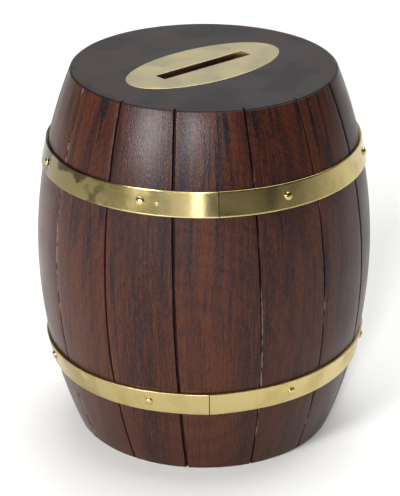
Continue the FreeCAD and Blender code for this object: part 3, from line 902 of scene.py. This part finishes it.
class MONEYBOX_OT_stage(bpy.types.Operator):
    """Makes the floor, the studio lights and the camera"""

    bl_idname = "money_box.stage"
    bl_label = "Stage"

    def execute(self, context):
        scene = context.scene
        half = 4.0
        corners = [(-half, -half, 0), (half, -half, 0), (half, half, 0), (-half, half, 0)]
        mesh = bpy.data.meshes.new("studio_floor")
        mesh.from_pydata(corners, [], [(0, 1, 2, 3)])
        floor = bpy.data.objects.new("studio_floor", mesh)
        context.collection.objects.link(floor)
        material, tree = new_finish("white_paper_floor")
        shader = add_node(tree, "ShaderNodeBsdfPrincipled",
                          {"Base Color": from_hex("F6F6F5"), "Roughness": 0.9})
        add_node(tree, "ShaderNodeOutputMaterial", {"Surface": shader.outputs[0]})
        give(floor, material)

        world = bpy.data.worlds.new("studio")
        world.use_nodes = True
        scene.world = world
        tree = world.node_tree
        tree.nodes.clear()
        # White paper behind the box, and a dimmer, cluttered room on the side it is seen from.
        away = add_node(tree, "ShaderNodeTexCoord").outputs["Generated"]
        towards = math.radians(FRONT + 164)
        facing = (math.cos(towards), math.sin(towards), 0.35)
        behind = add_node(tree, "ShaderNodeVectorMath", {0: away, 1: facing},
                          operation="DOT_PRODUCT").outputs["Value"]
        clutter = add_node(tree, "ShaderNodeTexNoise",
                           {"Vector": away, "Scale": 5.0, "Detail": 2.0}).outputs["Fac"]
        sky = layered(tree, from_hex("262B34"), [
            (clutter, 0.46, 0.56, 0.0, 1.0, from_hex("969281")),
            (behind, 0.68, 1.0, 0.0, 1.0, from_hex("FFFFFF")),
        ])
        background = add_node(tree, "ShaderNodeBackground", {"Color": sky, "Strength": 0.52})
        add_node(tree, "ShaderNodeOutputWorld", {"Surface": background.outputs[0]})

        add_light("overhead_softbox", FRONT + 160, 72, 1.6, (1.6, 1.6), 27)
        add_light("left_softbox", FRONT - 42, 18, 1.3, (0.32, 0.28), 16.0)
        add_light("front_softbox", FRONT - 8, 21, 1.3, (0.12, 0.12), 9.0)
        add_light("low_reflector", FRONT - 19, 4, 1.3, (0.52, 0.30), 0.19, "D4E4FF")
        add_light("low_strip", FRONT - 8, 4, 1.3, (0.15, 0.34), 0.62, "EEF2FF")

        camera = bpy.data.objects.new("camera", bpy.data.cameras.new("camera"))
        context.collection.objects.link(camera)
        camera.data.sensor_fit = "AUTO"
        camera.data.sensor_width = 36.0
        camera.data.lens = 141.0
        camera.data.clip_start = 0.01
        bearing = math.radians(FRONT)
        distance, level = 4.761 * HEIGHT, 2.643 * HEIGHT
        camera.location = (distance * math.cos(bearing), distance * math.sin(bearing), level)
        pitch, yaw, roll = math.radians(24.43), math.radians(-0.13), math.radians(-0.085)
        ahead = bearing + math.pi - yaw
        forward = Vector((math.cos(pitch) * math.cos(ahead), math.cos(pitch) * math.sin(ahead),
                          -math.sin(pitch)))
        right = forward.cross(Vector((0, 0, 1))).normalized()
        level_view = Matrix((right, right.cross(forward), -forward)).transposed()
        camera.rotation_euler = (level_view @ Matrix.Rotation(roll, 3, "Z")).to_euler()
        scene.camera = camera
        scene.view_settings.view_transform = "Standard"
        return {"FINISHED"}


STEPS = (MONEYBOX_OT_barrel, MONEYBOX_OT_plate, MONEYBOX_OT_hoops, MONEYBOX_OT_pins,
         MONEYBOX_OT_base, MONEYBOX_OT_screws, MONEYBOX_OT_stage)


class MONEYBOX_PT_panel(bpy.types.Panel):
    """Lists the steps that make the money box"""

    bl_label = "Money Box"
    bl_idname = "MONEYBOX_PT_panel"
    bl_space_type = "VIEW_3D"
    bl_region_type = "UI"
    bl_category = "Money Box"

    def draw(self, context):
        for group in (context.scene.money_box_sizes, context.scene.money_box_colours):
            box = self.layout.box()
            for name in group.__annotations__:
                box.prop(group, name)
        for step in STEPS:
            self.layout.operator(step.bl_idname)


CLASSES = (MoneyBoxSizes, MoneyBoxColours, *STEPS, MONEYBOX_PT_panel)


def register():
    for item in CLASSES:
        bpy.utils.register_class(item)
    bpy.types.Scene.money_box_sizes = bpy.props.PointerProperty(type=MoneyBoxSizes)
    bpy.types.Scene.money_box_colours = bpy.props.PointerProperty(type=MoneyBoxColours)


def unregister():
    del bpy.types.Scene.money_box_colours
    del bpy.types.Scene.money_box_sizes
    for item in reversed(CLASSES):
        bpy.utils.unregister_class(item)


def main():
    register()
    bpy.ops.money_box.barrel()
    bpy.ops.money_box.plate()
    bpy.ops.money_box.hoops()
    bpy.ops.money_box.pins()
    bpy.ops.money_box.base()
    bpy.ops.money_box.screws()
    bpy.ops.money_box.stage()


if __name__ == "__main__":
    main()
